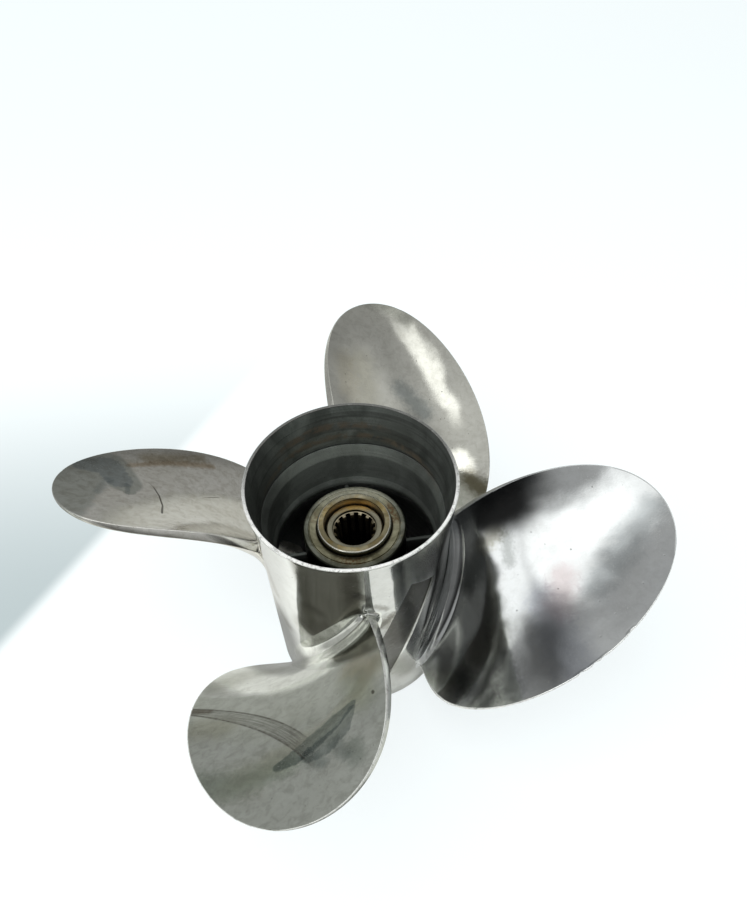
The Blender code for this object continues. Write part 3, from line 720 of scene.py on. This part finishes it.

# Stains and painted reflections: points of (x, y, z, half width) in mm, colour, strength, raggedness. Arcs: two
# circles in plan and the x where the rubbed band ends. Painted reflection edges: a circle in plan, with the colour
# darkened outside it.
bladeFinishes = (
    {
        "name": "Front",
        "clean": "#e2e4de",
        "film": 0.45,
        "filmColor": "#cbccc4",
        "roughness": 0.07,
        "filmRough": 0.10,
        "mottle": 0.3,
        "hairTurn": (0, 0, 62),
        # Painted reflection edge on this blade: darker outside the circle.
        "paintedReflectionEdges": (((-52, 36, 120), "#eceeea", 0.9),),
        "stainsAndPaintedReflections": (
            (((-104, -88, 75, 3.0), (-90, -90, 81, 2.6)), "#8d8072", 0.8, 1.5),
            (((0, -98, 132, 9), (-7, -92, 122, 9)), "#d2c4ae", 0.6, 1.7),
            (((-2, -118, 138, 8), (-10, -100, 126, 8)), "#ccd0bd", 0.5, 1.7),
            (((2, -116, 139, 1.0), (2, -117, 140, 1.0)), "#6b645a", 0.8, 0.9),
            # These five bluish marks, a fish shape with a soft tail running left, are painted reflection of a darker
            # shape in the room.
            (
                ((-9, -118, 134, 2.2), (-18, -125, 131, 4.8), (-28, -132, 129, 5.5), (-38, -139, 126, 5.0), (-46, -142, 124, 3.0)),
                "#b0b7b9",
                0.9,
                0.9,
            ),
            (((-10, -121, 135, 2.5), (-14, -131, 135, 4.5), (-22, -137, 132, 6.5), (-30, -140, 130, 5.0)), "#bac0c2", 0.85, 0.9),
            (((-32, -141, 129, 4.5), (-24, -147, 135, 3.5)), "#bdc3c4", 0.8, 1.3),
            (((-18, -138, 135, 4.5), (-13, -146, 141, 3.5)), "#c3c8c8", 0.8, 1.3),
            (((-42, -143, 126, 7), (-70, -147, 118, 9), (-90, -142, 108, 9)), "#c3cbc4", 0.75, 1.5),
            (((-90, -66, 62, 9), (-72, -56, 52, 10), (-54, -56, 54, 9)), "#cfcfc8", 0.8, 1.3),
            (((-9, -142, 142, 4.5), (-8, -149, 144, 5)), "#cacfcc", 0.8, 1.1),
            (((-80, -106, 93, 9), (-94, -104, 88, 10)), "#d3cfc0", 0.6, 1.7),
        ),
        "arcs": (((-125.9, -202.1, 118.6), (-150.4, -227.8, 145.7), -38, -26, "#4c443b", 0.9),),
    },
    {
        "name": "Right",
        "clean": "#dcdede",
        "film": 0.12,
        "mottle": 0.10,
        "waveDepth": 0.0006,
        "hairTurn": (0, 0, -20),
        "stainsAndPaintedReflections": (
            # Painted reflection: this mark, the third and the ninth darken the near side of the blade, and the fourth
            # and fifth draw a darker strip along the upper side near the root, where darker things are mirrored.
            (((37, -50, 34, 12), (52, -58, 48, 11), (54, -76, 48, 10)), "#77797b", 0.8, 1.5),
            (((62, -30, 84, 6), (70, -62, 76, 6)), "#8f8e88", 0.6, 1.5),
            (((57, -72, 53, 6), (66, -92, 62, 8)), "#8d8f90", 0.7, 1.5),
            (((62, -2, 112, 9), (76, 5, 126, 10), (102, 12, 140, 10)), "#8d9092", 0.85, 1.3),
            (((63, 0, 116, 7), (76, 3, 126, 6)), "#b2b4b5", 0.85, 1.5),
            (((76, -14, 104, 5), (84, -10, 112, 6)), "#cdc9b8", 0.7, 1.8),
            (((89, -14, 114, 4), (90, -26, 104, 4)), "#c2c4c2", 0.7, 1.8),
            (((103, -52, 100, 10), (108, -71, 97, 15), (114, -92, 95, 13)), "#c3c5cc", 0.85, 1.4),
            (((81, -72, 76, 4), (79, -91, 72, 9)), "#7f8183", 0.8, 1.5),
            (((116, -46, 112, 9), (111, -58, 104, 10)), "#e0cfcf", 0.7, 1.8),
            (((166, -26, 145, 8), (150, -40, 131, 10), (132, -56, 114, 8)), "#c2c5c6", 0.85, 1.5),
        ),
        "nicks": ((119, -104, 98), (124, -99, 101), (129, -94, 105), (142, -80, 114)),
    },
    {
        "name": "Back",
        "clean": "#d9d8cf",
        "film": 0.26,
        "filmColor": "#bdbcb0",
        "roughness": 0.04,
        "filmRough": 0.05,
        "mottle": 0.2,
        "mottleRough": 0.04,
        "hairTurn": (0, 0, -58),
        "hair": 0.7,
        "stainsAndPaintedReflections": (
            (((10, 178, 149, 6), (34, 177, 143, 7), (50, 168, 135, 5)), "#c6c8c4", 0.8, 1.5),
            (((4, 124, 140, 8), (6, 104, 132, 9)), "#d9d3c4", 0.6, 1.8),
            (((16, 128, 135, 9), (20, 100, 122, 9)), "#d6d3c4", 0.5, 1.8),
            (((41, 118, 114, 7), (56, 106, 101, 7)), "#c6ccd0", 0.9, 1.8),
            (((84, 71, 65, 7), (96, 62, 59, 8)), "#7b735c", 0.9, 1.3),
        ),
    },
    {
        "name": "Left",
        "clean": "#dfddd5",
        "film": 0.42,
        "filmColor": "#c3bfb2",
        "roughness": 0.07,
        "filmRough": 0.10,
        "mottle": 0.34,
        "mottleColor": "#aca695",
        "hairTurn": (0, 0, -12),
        "stainsAndPaintedReflections": (
            # Painted reflection: this mark and the next three draw the bluish blotch near the tip, a dark thing
            # mirrored in the blade.
            (
                ((-172, -2, 150, 20), (-168, 54, 134, 20), (-152, 62, 123, 13), (-141, 44, 122, 11), (-137, 36, 124, 5)),
                "#cbd0cf",
                0.95,
                0.5,
            ),
            (((-166, 58, 132, 7), (-153, 60, 124, 10), (-145, 46, 122, 9)), "#d3d9e0", 0.9, 0.9),
            (((-150, 44, 126, 4), (-152, 30, 134, 3)), "#d9dee2", 0.9, 1.2),
            (((-140, 42, 121, 4), (-137, 30, 126, 2.5)), "#c9cfd2", 0.9, 0.9),
            (((-133, 78, 108, 6), (-104, 92, 86, 5)), "#c3b9a6", 0.8, 1.8),
            (((-142, 66, 116, 2.5), (-122, 78, 103, 3), (-96, 88, 84, 3)), "#c8b398", 0.7, 1.9),
            (((-131, 54, 115, 0.35), (-125, 47, 115, 0.4)), "#7a7468", 0.7, 0.5),
            (((-125, 47, 115, 0.4), (-120, 38, 117, 0.5), (-116, 26, 121, 0.6), (-114, 16, 127, 0.7)), "#4d463c", 0.9, 0.5),
            (((-100, 48, 99, 0.35), (-84, 60, 83, 0.35)), "#7a7468", 0.8, 0.8),
        ),
    },
)


# Places round a section, from the leading edge over the face, round the trailing edge and back underneath.
def bladeLoop():
    places = [("face", step / blade["faceColumns"]) for step in range(blade["faceColumns"] + 1)]
    places += [("trailFace", turn / 4) for turn in (1, 2, 3, 4)]
    places += [("trailBack", turn / 4) for turn in (0, 1, 2, 3)]
    places += [("back", 1 - step / blade["backColumns"]) for step in range(blade["backColumns"] + 1)]
    places += [("leadBack", turn / 4) for turn in (1, 2, 3, 4)]
    places += [("leadFace", turn / 4) for turn in (1, 2, 3)]
    return places


# How far a fillet of this radius reaches out at a height above the root.
def filletReach(radius, rise, ownRise):
    rise = rise * radius / ownRise
    if rise >= radius:
        return 0.0
    return radius - math.sqrt(max(0.0, radius * radius - (radius - rise) ** 2))


def bladePoint(part, share, row):
    span = blade["tipRadius"] - blade["rootRadius"]
    column = 0.5 - 0.5 * math.cos(math.pi * share)
    if part.startswith("trail"):
        column = 1.0
    elif part.startswith("lead"):
        column = 0.0
    hump = 4 * column * (1 - column)
    fullness = math.sqrt(max(0.0, hump))
    face = blend(blade["endFillet"], blade["faceFillet"], fullness)
    back = blend(blade["endFillet"], blade["backFillet"], fullness)
    end = blade["endFillet"]
    if row <= blade["filletRows"]:
        turn = 0.5 * math.pi * (1 - row / blade["filletRows"])
        rise = face * (1 - math.sin(turn))
        faceFlare = filletReach(face, rise, face)
    else:
        step = (row - blade["filletRows"]) / blade["spanRows"]
        rise = blend(face, span, math.sin(0.5 * math.pi * step * 0.994))
        faceFlare = filletReach(face, rise, 1.0)
    backFlare = filletReach(back, rise, back)
    endFlare = filletReach(end, rise, end)
    place = min(1.0, rise / span)
    radius = blade["rootRadius"] + rise
    outline = math.sqrt(max(0.0, 1 - place ** blade["outlinePower"]))
    chord = outline * curveThrough(blade["chord"], place) + 2 * endFlare
    pitchAngle = math.atan(curveThrough(blade["pitch"], place) / (math.tau * radius))
    trailing = curveThrough(blade["trailing"], place)
    leading = curveThrough(blade["leading"], place)
    thickness = blend(leading, trailing, column) + curveThrough(blade["thickening"], place) * hump
    hollow = blade["hollow"] * chord * hump * (1 - place)
    left = span - rise
    tipTaper = math.sqrt(max(0.0, 1 - (1 - left / 0.7) ** 2)) if left < 0.7 else 1.0
    steep = min(6.0, math.sqrt(1 + chord * chord / (16 * max(0.05, left) ** 2))) if left < 30 else 1.0
    top = -hollow + faceFlare
    bottom = -hollow - thickness - backFlare
    middle = 0.5 * (top + bottom)
    trailRound = min(blade["edgeRounding"] + endFlare, 0.49 * (top - bottom))
    leadRound = min(0.5 * leading + endFlare, 0.49 * (top - bottom))
    trailReach = min(trailRound * steep, 0.3 * chord)
    leadReach = min(max(leadRound * steep, blade["edgeBand"] + endFlare), 0.3 * chord)
    first = -0.5 * chord + leadReach
    last = 0.5 * chord - trailReach
    if part in ("face", "back"):
        reach = blend(first, last, column)
        offset = top if part == "face" else bottom
    elif part.startswith("trail"):
        turn = 0.5 * math.pi * (share if part == "trailFace" else 1 - share)
        reach = last + trailReach * math.sin(turn)
        offset = top - trailRound + trailRound * math.cos(turn)
        if part == "trailBack":
            offset = bottom + trailRound - trailRound * math.cos(turn)
    else:
        turn = 0.5 * math.pi * (share if part == "leadBack" else 1 - share)
        reach = first - leadReach * math.sin(turn)
        offset = bottom + leadRound - leadRound * math.cos(turn)
        if part == "leadFace":
            offset = top - leadRound + leadRound * math.cos(turn)
    offset = middle + (offset - middle) * tipTaper
    around = reach * math.cos(pitchAngle) - offset * math.sin(pitchAngle)
    height = curveThrough(blade["height"], place) + reach * math.sin(pitchAngle) + offset * math.cos(pitchAngle)
    nearRoot = max(0.0, 1 - rise / 40) ** 2
    distance = radius + (barrelRadius(height) - blade["rootRadius"]) * nearRoot
    angle = math.radians(curveThrough(blade["skew"], place)) + around / radius
    return Vector((distance * math.cos(angle), distance * math.sin(angle), height)) * mm


def makeBlade():
    deselectAll()
    places = bladeLoop()
    rows = blade["filletRows"] + blade["spanRows"]
    bpy.ops.mesh.primitive_grid_add(x_subdivisions=len(places), y_subdivisions=rows + 1, size=1)
    piece = bpy.context.object
    edge = piece.data.attributes.new("edge", "FLOAT", "POINT")
    for vertex in piece.data.vertices:
        column = round((vertex.co.x + 0.5) * len(places)) % len(places)
        row = round((vertex.co.y + 0.5) * (rows + 1)) - 1
        part, share = places[column]
        point = bladePoint(part, share, max(0, row))
        if row < 0:
            inward = 1 - blade["sunk"] * mm / math.hypot(point.x, point.y)
            point = Vector((point.x * inward, point.y * inward, point.z))
        vertex.co = point
        # The edge attribute weights the painted highlight along the leading and trailing edges.
        if row > blade["filletRows"]:
            edge.data[vertex.index].value = {"leadFace": 1.0, "trailFace": 0.7}.get(part, 0.0)
    pick(piece)
    bpy.ops.object.mode_set(mode="EDIT")
    bpy.ops.mesh.select_all(action="SELECT")
    bpy.ops.mesh.remove_doubles(threshold=0.000002)
    bpy.ops.mesh.select_all(action="DESELECT")
    bpy.ops.mesh.select_mode(type="EDGE")
    bpy.ops.mesh.select_non_manifold()
    bpy.ops.mesh.edge_face_add()
    bpy.ops.mesh.select_all(action="SELECT")
    bpy.ops.mesh.normals_make_consistent(inside=False)
    bpy.ops.object.mode_set(mode="OBJECT")
    return piece


# Small dents where the edge met a stone: the rim nearest to each spot is pressed in.
def dentEdge(piece, spots):
    edge = piece.data.attributes["edge"].data
    rimPoints = [vertex.co.copy() for vertex in piece.data.vertices if edge[vertex.index].value > 0.9]
    for spot in spots:
        center = min(rimPoints, key=lambda point: (point - Vector(spot) * mm).length)
        inward = Vector((-center.x, -center.y, 0)).normalized() * blade["dentDepth"] * mm
        for vertex in piece.data.vertices:
            share = 1 - (vertex.co - center).length / (blade["dentReach"] * mm)
            if share > 0:
                vertex.co += inward * share * share * (3 - 2 * share)


first = makeBlade()
copies = [first.copy() for finish in bladeFinishes[1:]]
for piece in copies:
    piece.data = first.data.copy()
    bpy.context.collection.objects.link(piece)
for index, (piece, finish) in enumerate(zip([first] + copies, bladeFinishes)):
    piece.name = "blade" + finish["name"]
    piece.data.name = piece.name
    turn = math.radians(blade["azimuth"]) + math.tau * index / len(bladeFinishes)
    piece.data.transform(Matrix.Rotation(turn, 4, "Z"))
    dentEdge(piece, finish.get("nicks", ()))
    material = polishedStainless("polishedCastStainless" + finish["name"], finish)
    finishPiece(piece, [material], ["blade_" + str(index + 1)], 40)
print("blades", len(first.data.polygons))


# Inner hub: tube with a flat aft face, a raised ring round the bore and a thin turned groove.
hubPoints = softCorners(
    [
        (18.1, 121.8, 0.4),
        (22.3, 121.8, 1.0),
        (22.4, 118.3, 0.4),
        (23.0, 117.6, 0.5),
        (26.9, 117.8, 0.1),
        (27.2, 117.3, 0.1),
        (27.6, 117.3, 0.1),
        (27.9, 117.8, 0.15),
        (30.2, 117.7, 0.3),
        (31.0, 116.9, 0.5),
        (30.8, 80.0, 0),
        (30.0, 12.8, 0.5),
        (29.2, 12.0, 0.4),
        (27.2, 12.0, 0.3),
        (26.4, 12.8, 0.4),
        (26.0, 109.0, 0.5),
        (25.0, 110.0, 0.5),
        (18.4, 111.0, 0.3),
        (17.9, 111.8, 0.3),
    ],
    4,
)
hub = turnProfile("innerHub", hubPoints, 192)
finishPiece(hub, [turnedHub("turnedStainlessHubFace")], ["inner_hub"], 30)
print("hub turned")


# Splined drive sleeve: a rubbed rim, then fifteen round-ended teeth that start a little way below it.
sleeve = {"teeth": 15, "turn": -2.0, "root": 12.75, "flankStart": 0.34, "flankEnd": 0.66}
sleevePoints = softCorners(
    [
        (13.2, 116.6, 0.3),
        (16.3, 116.7, 0.4),
        (17.1, 116.0, 0.5),
        (17.1, 111.4, 0.3),
        (16.4, 110.8, 0.3),
        (16.4, 12.0, 0.5),
        (15.6, 10.0, 0.4),
        (14.2, 10.0, 0.4),
        (13.1, 12.5, 0.1),
        (12.7, 12.9, 0),
        (10.7, 14.6, 0.5),
        (10.7, 111.6, 1.4),
        (11.4, 113.6, 1.0),
        (12.7, 114.5, 0),
        (13.2, 114.7, 0.1),
    ],
    4,
)


def toothShape(radius, angle):
    if radius >= sleeve["root"]:
        return radius
    off = abs((math.degrees(angle) - sleeve["turn"]) / 360 * sleeve["teeth"] % 1 - 0.5) * 2
    share = min(1.0, max(0.0, (off - sleeve["flankStart"]) / (sleeve["flankEnd"] - sleeve["flankStart"])))
    share = share * share * (3 - 2 * share)
    return blend(sleeve["root"], radius, share)


drive = turnProfile("driveSleeve", sleevePoints, 600, toothShape)
finishPiece(drive, [rubbedBronze("rubbedBronzeSleeve")], ["drive_sleeve"], 40)
print("sleeve cut")


# Rubber bushing between the sleeve and the hub.
bushingPoints = softCorners(
    [
        (16.8, 108.6, 0.5),
        (25.7, 108.6, 1.0),
        (25.7, 16.5, 1.5),
        (22.0, 15.6, 3.0),
        (18.5, 16.5, 1.0),
        (16.8, 16.5, 0.6),
    ],
    5,
)
bushing = turnProfile("rubberBushing", bushingPoints, 128)
finishPiece(bushing, [mouldedRubber("mouldedNitrileRubber")], ["rubber_bushing"], 40)
print("bushing turned")


# Ribs: flat webs with rounded ends that carry the hub inside the barrel.
rib = {
    "azimuth": 3.0,
    "bottom": 26.0,
    "top": 97.0,
    "inner": 30.2,
    "outer": 51.6,
    "thickness": 2.6,
    "rounding": 1.0,
}
for index in range(4):
    angle = math.radians(rib["azimuth"] + 90 * index)
    deselectAll()
    bpy.ops.mesh.primitive_grid_add(x_subdivisions=14, y_subdivisions=28, size=1)
    web = bpy.context.object
    web.name = "rib" + str(index + 1)
    for vertex in web.data.vertices:
        height = blend(rib["bottom"], rib["top"], vertex.co.y + 0.5)
        radius = blend(rib["inner"], rib["outer"], vertex.co.x + 0.5)
        vertex.co = (radius * math.cos(angle) * mm, radius * math.sin(angle) * mm, height * mm)
    pick(web)
    thicken = web.modifiers.new("thicken", "SOLIDIFY")
    thicken.thickness = rib["thickness"] * mm
    thicken.offset = 0
    bpy.ops.object.modifier_apply(modifier="thicken")
    soften = web.modifiers.new("soften", "BEVEL")
    soften.width = rib["rounding"] * mm
    soften.segments = 4
    soften.limit_method = "ANGLE"
    bpy.ops.object.modifier_apply(modifier="soften")
    finishPiece(web, [inside], ["rib_" + str(index + 1)], 40)
print("ribs set")


# The camera sees a white sheet with a painted diagonal shade at the far left. The metal mirrors the table, pale close
# by and dimmer further out, with painted shadow and shade on it. Both glow though neither is a lamp, which is painted
# light: the sheet strongly, the table a little in front of the hub but not under it.
stageLook = {
    "sheet": "#f9feff",
    "cool": "#f3f9fa",
    "shade": "#bbc6c8",
    "sheetGlow": 0.8,
    "sheetBase": "#7c7f7f",
    "near": "#f4f5f2",
    "far": "#b6b7b4",
    "tableGlow": 0.22,
    "nearReach": 0.140,
    "farReach": 0.180,
    "shadeFacing": (-0.835, 0.550, 0.0),
    "shadeFrom": 0.213,
    "shadeTo": 0.229,
    "shadeFades": 0.34,
    "darkPlace": (-0.058, -0.004, 0.0),
    "darkReach": (0.040, 0.016),
    "darkShare": 0.58,
    "leftSide": (-0.115, -0.150),
    "leftAzimuths": (108, 122),
    "leftLimits": (-0.05, -0.02),
    "leftReach": (2.6, 1.7),
    "leftShare": 0.33,
    "feetShadowPlace": (0.06, -0.42, 0.0),
    "feetShadowReach": (0.27, 0.20),
    "feetShadowShare": 0.68,
    "distantFrom": (0.7, 1.0),
    "distantFront": (-0.2, -0.45),
    "distantShare": 0.6,
}


def stagePlane(name, height):
    deselectAll()
    bpy.ops.mesh.primitive_plane_add(size=8.0, location=(0, 0, height))
    board = bpy.context.object
    board.name = name
    made, tree, shader, place = startMaterial(name)
    shader.inputs["Roughness"].default_value = 0.8
    shader.inputs["Specular IOR Level"].default_value = 0.0
    board.data.materials.append(made)
    return board, tree, shader, place


floor, tree, shader, place = stagePlane("floor", 0.0)
floor.visible_glossy = False
floor.visible_diffuse = False
floor.visible_shadow = False
across = vectorCalc(tree, "DOT_PRODUCT", place, stageLook["shadeFacing"])
further = node(tree, "ShaderNodeSeparateXYZ", {0: place}).outputs["Y"]
color = tinted(tree, fade(tree, further, 0.15, 0.9), hexColor(stageLook["sheet"]), hexColor(stageLook["cool"]))
# Painted shade: a soft diagonal shade across the far left of the sheet, fading out further back.
shaded = fade(tree, across, stageLook["shadeFrom"], stageLook["shadeTo"])
shaded = calc(tree, "MULTIPLY", shaded, fade(tree, further, stageLook["shadeFades"], 0.02))
color = tinted(tree, shaded, color, hexColor(stageLook["shade"]))
tree.links.new(tinted(tree, 1.0, color, hexColor(stageLook["sheetBase"]), "MULTIPLY"), shader.inputs["Base Color"])
# Painted light: the sheet glows though it is no lamp, keeping it white and softening the shadows on it.
tree.links.new(color, shader.inputs["Emission Color"])
shader.inputs["Emission Strength"].default_value = stageLook["sheetGlow"]

table, tree, shader, place = stagePlane("table", -0.0005)
table.visible_camera = False
away = vectorCalc(tree, "LENGTH", place)
spread = fade(tree, away, stageLook["nearReach"], stageLook["farReach"])
color = tinted(tree, spread, hexColor(stageLook["near"]), hexColor(stageLook["far"]))
# Painted shadow and shade on the table: just left of the hub under the left blade, off to the far left, where a viewer
# stands in front, and far out in front.
fromDark = vectorCalc(tree, "LENGTH", vectorCalc(tree, "SUBTRACT", place, stageLook["darkPlace"]))
dimmed = fade(tree, fromDark, *stageLook["darkReach"], 0.0, stageLook["darkShare"])
ground = node(tree, "ShaderNodeSeparateXYZ", {0: place}).outputs
direction = calc(tree, "ARCTAN2", ground["Y"], ground["X"])
leftSide = calc(tree, "MULTIPLY", fade(tree, ground["X"], *stageLook["leftSide"]), fade(tree, away, *stageLook["leftReach"]))
leftSide = calc(tree, "MULTIPLY", leftSide, fade(tree, ground["Y"], *stageLook["leftLimits"], 0.0, stageLook["leftShare"]))
start, end = (math.radians(angle) for angle in stageLook["leftAzimuths"])
leftSide = calc(tree, "MULTIPLY", leftSide, fade(tree, calc(tree, "ABSOLUTE", direction), start, end))
fromFeetShadow = vectorCalc(tree, "LENGTH", vectorCalc(tree, "SUBTRACT", place, stageLook["feetShadowPlace"]))
feetShadow = fade(tree, fromFeetShadow, *stageLook["feetShadowReach"], 0.0, stageLook["feetShadowShare"])
distant = fade(tree, ground["Y"], *stageLook["distantFront"], 0.0, stageLook["distantShare"])
distant = calc(tree, "MULTIPLY", distant, fade(tree, away, *stageLook["distantFrom"]))
for darker in (leftSide, feetShadow, distant):
    dimmed = calc(tree, "MAXIMUM", dimmed, darker)
color = tinted(tree, dimmed, color, hexColor("#000000"))
tree.links.new(color, shader.inputs["Base Color"])
tree.links.new(color, shader.inputs["Emission Color"])
# Painted light: the table glows in front of the hub though it is no lamp, but not under the hub.
glow = calc(tree, "MULTIPLY", fade(tree, away, 0.057, 0.060, 0.0, stageLook["tableGlow"]), fade(tree, ground["Y"], 0.0, -0.05))
tree.links.new(glow, shader.inputs["Emission Strength"])
print("floor laid")


# Camera matched to the photo: place in mm, angles in degrees, focal length in photo pixels.
camera = {
    "place": (0.0, -286.36, 502.81),
    "pitch": -48.72,
    "yaw": 2.72,
    "roll": -3.10,
    "focalPixels": 798.1,
    "longSide": 919,
}
lens = bpy.data.cameras.new("camera")
lens.sensor_width = 36
lens.lens = camera["focalPixels"] * lens.sensor_width / camera["longSide"]
eye = bpy.data.objects.new("camera", lens)
bpy.context.scene.collection.objects.link(eye)
turn = Matrix.Rotation(-math.radians(camera["yaw"]), 4, "Z")
turn = turn @ Matrix.Rotation(math.radians(90 + camera["pitch"]), 4, "X")
turn = turn @ Matrix.Rotation(math.radians(camera["roll"]), 4, "Z")
eye.matrix_world = Matrix.Translation(Vector(camera["place"]) * mm) @ turn
bpy.context.scene.camera = eye


# One soft room. Each patch: azimuth, elevation, half width, half height in degrees, softness, brightness.
room = {
    "levels": ((0, 0.43), (35, 0.31), (90, 0.59)),
    "tint": "#f6f8f8",
    "patches": {
        "ceiling": (-100, 82, 180, 12, 0.5, 0.7),
        "window": (-143, 55, 13, 18, 0.6, 1.85),
        "windowLow": (-155, 46, 13, 10, 0.5, 1.6),
        "windowFoot": (-159, 24, 22, 11, 0.4, 1.4),
        "darkCorner": (175, 37, 9, 8, 0.6, 0.14),
        "viewer": (-119, 22, 19, 27, 0.35, 0.02),
        "viewerFeet": (-80, 4, 35, 15, 0.5, 0.17),
        "ceilingRight": (-39, 54, 36, 10, 0.8, 0.73),
        "ceilingStrip": (-10, 52.8, 20, 2.0, 0.4, 1.7),
        "doorway": (4, 31, 18, 9.5, 0.5, 0.69),
        "backWall": (95, 34, 25, 10, 0.5, 0.3),
        "backWindow": (90, 53, 18, 9, 0.5, 1.5),
        "smallWindow": (-57, 46.5, 9, 4, 0.3, 1.9),
        "leftWall": (134, 20, 22, 10, 0.3, 0.47),
        "farWall": (72, 22, 24, 6.5, 0.5, 0.2),
        "sideWall": (174, 53, 8, 7, 0.6, 0.55),
    },
    "lampEnergy": 115.0,
    "lampPlace": (-0.9, -0.7, 2.6),
    "lampSize": 3.6,
}


def patchMask(tree, across, upward, azimuth, elevation, halfWidth, halfHeight, softness):
    aside = calc(tree, "WRAP", calc(tree, "SUBTRACT", across, math.radians(azimuth)), math.pi, -math.pi)
    aside = calc(tree, "ABSOLUTE", calc(tree, "DIVIDE", aside, math.radians(halfWidth)))
    above = calc(tree, "SUBTRACT", upward, math.radians(elevation))
    above = calc(tree, "ABSOLUTE", calc(tree, "DIVIDE", above, math.radians(halfHeight)))
    both = calc(tree, "ADD", calc(tree, "POWER", aside, 4.0), calc(tree, "POWER", above, 4.0))
    return fade(tree, calc(tree, "POWER", both, 0.25), 1 + softness, 1 - softness)


def makeRoom():
    world = bpy.data.worlds.new("softRoom")
    bpy.context.scene.world = world
    world.use_nodes = True
    tree = world.node_tree
    background = tree.nodes["Background"]
    direction = node(tree, "ShaderNodeSeparateXYZ", {0: node(tree, "ShaderNodeTexCoord").outputs["Generated"]})
    across = calc(tree, "ARCTAN2", direction.outputs["Y"], direction.outputs["X"])
    upward = calc(tree, "ARCSINE", direction.outputs["Z"])
    (low, lowLevel), (middle, middleLevel), (high, highLevel) = room["levels"]
    limits = {0: upward, 1: math.radians(low), 2: math.radians(middle), 3: lowLevel, 4: middleLevel}
    level = node(tree, "ShaderNodeMapRange", limits).outputs[0]
    limits = {0: upward, 1: math.radians(middle), 2: math.radians(high), 3: level, 4: highLevel}
    level = node(tree, "ShaderNodeMapRange", limits).outputs[0]
    for *patch, brightness in room["patches"].values():
        mask = patchMask(tree, across, upward, *patch)
        level = node(tree, "ShaderNodeMix", {0: mask, 2: level, 3: brightness}).outputs[0]
    background.inputs["Color"].default_value = hexColor(room["tint"])
    tree.links.new(level, background.inputs["Strength"])


# A big soft lamp brightens the white sheet and leaves gentle shadows; the metal does not mirror it.
def makeLamp():
    lamp = bpy.data.lights.new("overheadSoftLamp", "AREA")
    lamp.shape = "DISK"
    lamp.size = room["lampSize"]
    lamp.energy = room["lampEnergy"]
    holder = bpy.data.objects.new("overheadSoftLamp", lamp)
    bpy.context.scene.collection.objects.link(holder)
    holder.location = room["lampPlace"]
    holder.rotation_euler = (-Vector(room["lampPlace"])).to_track_quat("-Z", "Y").to_euler()
    holder.visible_camera = False
    holder.visible_glossy = False


makeRoom()
makeLamp()
bpy.context.scene.view_settings.view_transform = "Standard"
print("room lit")
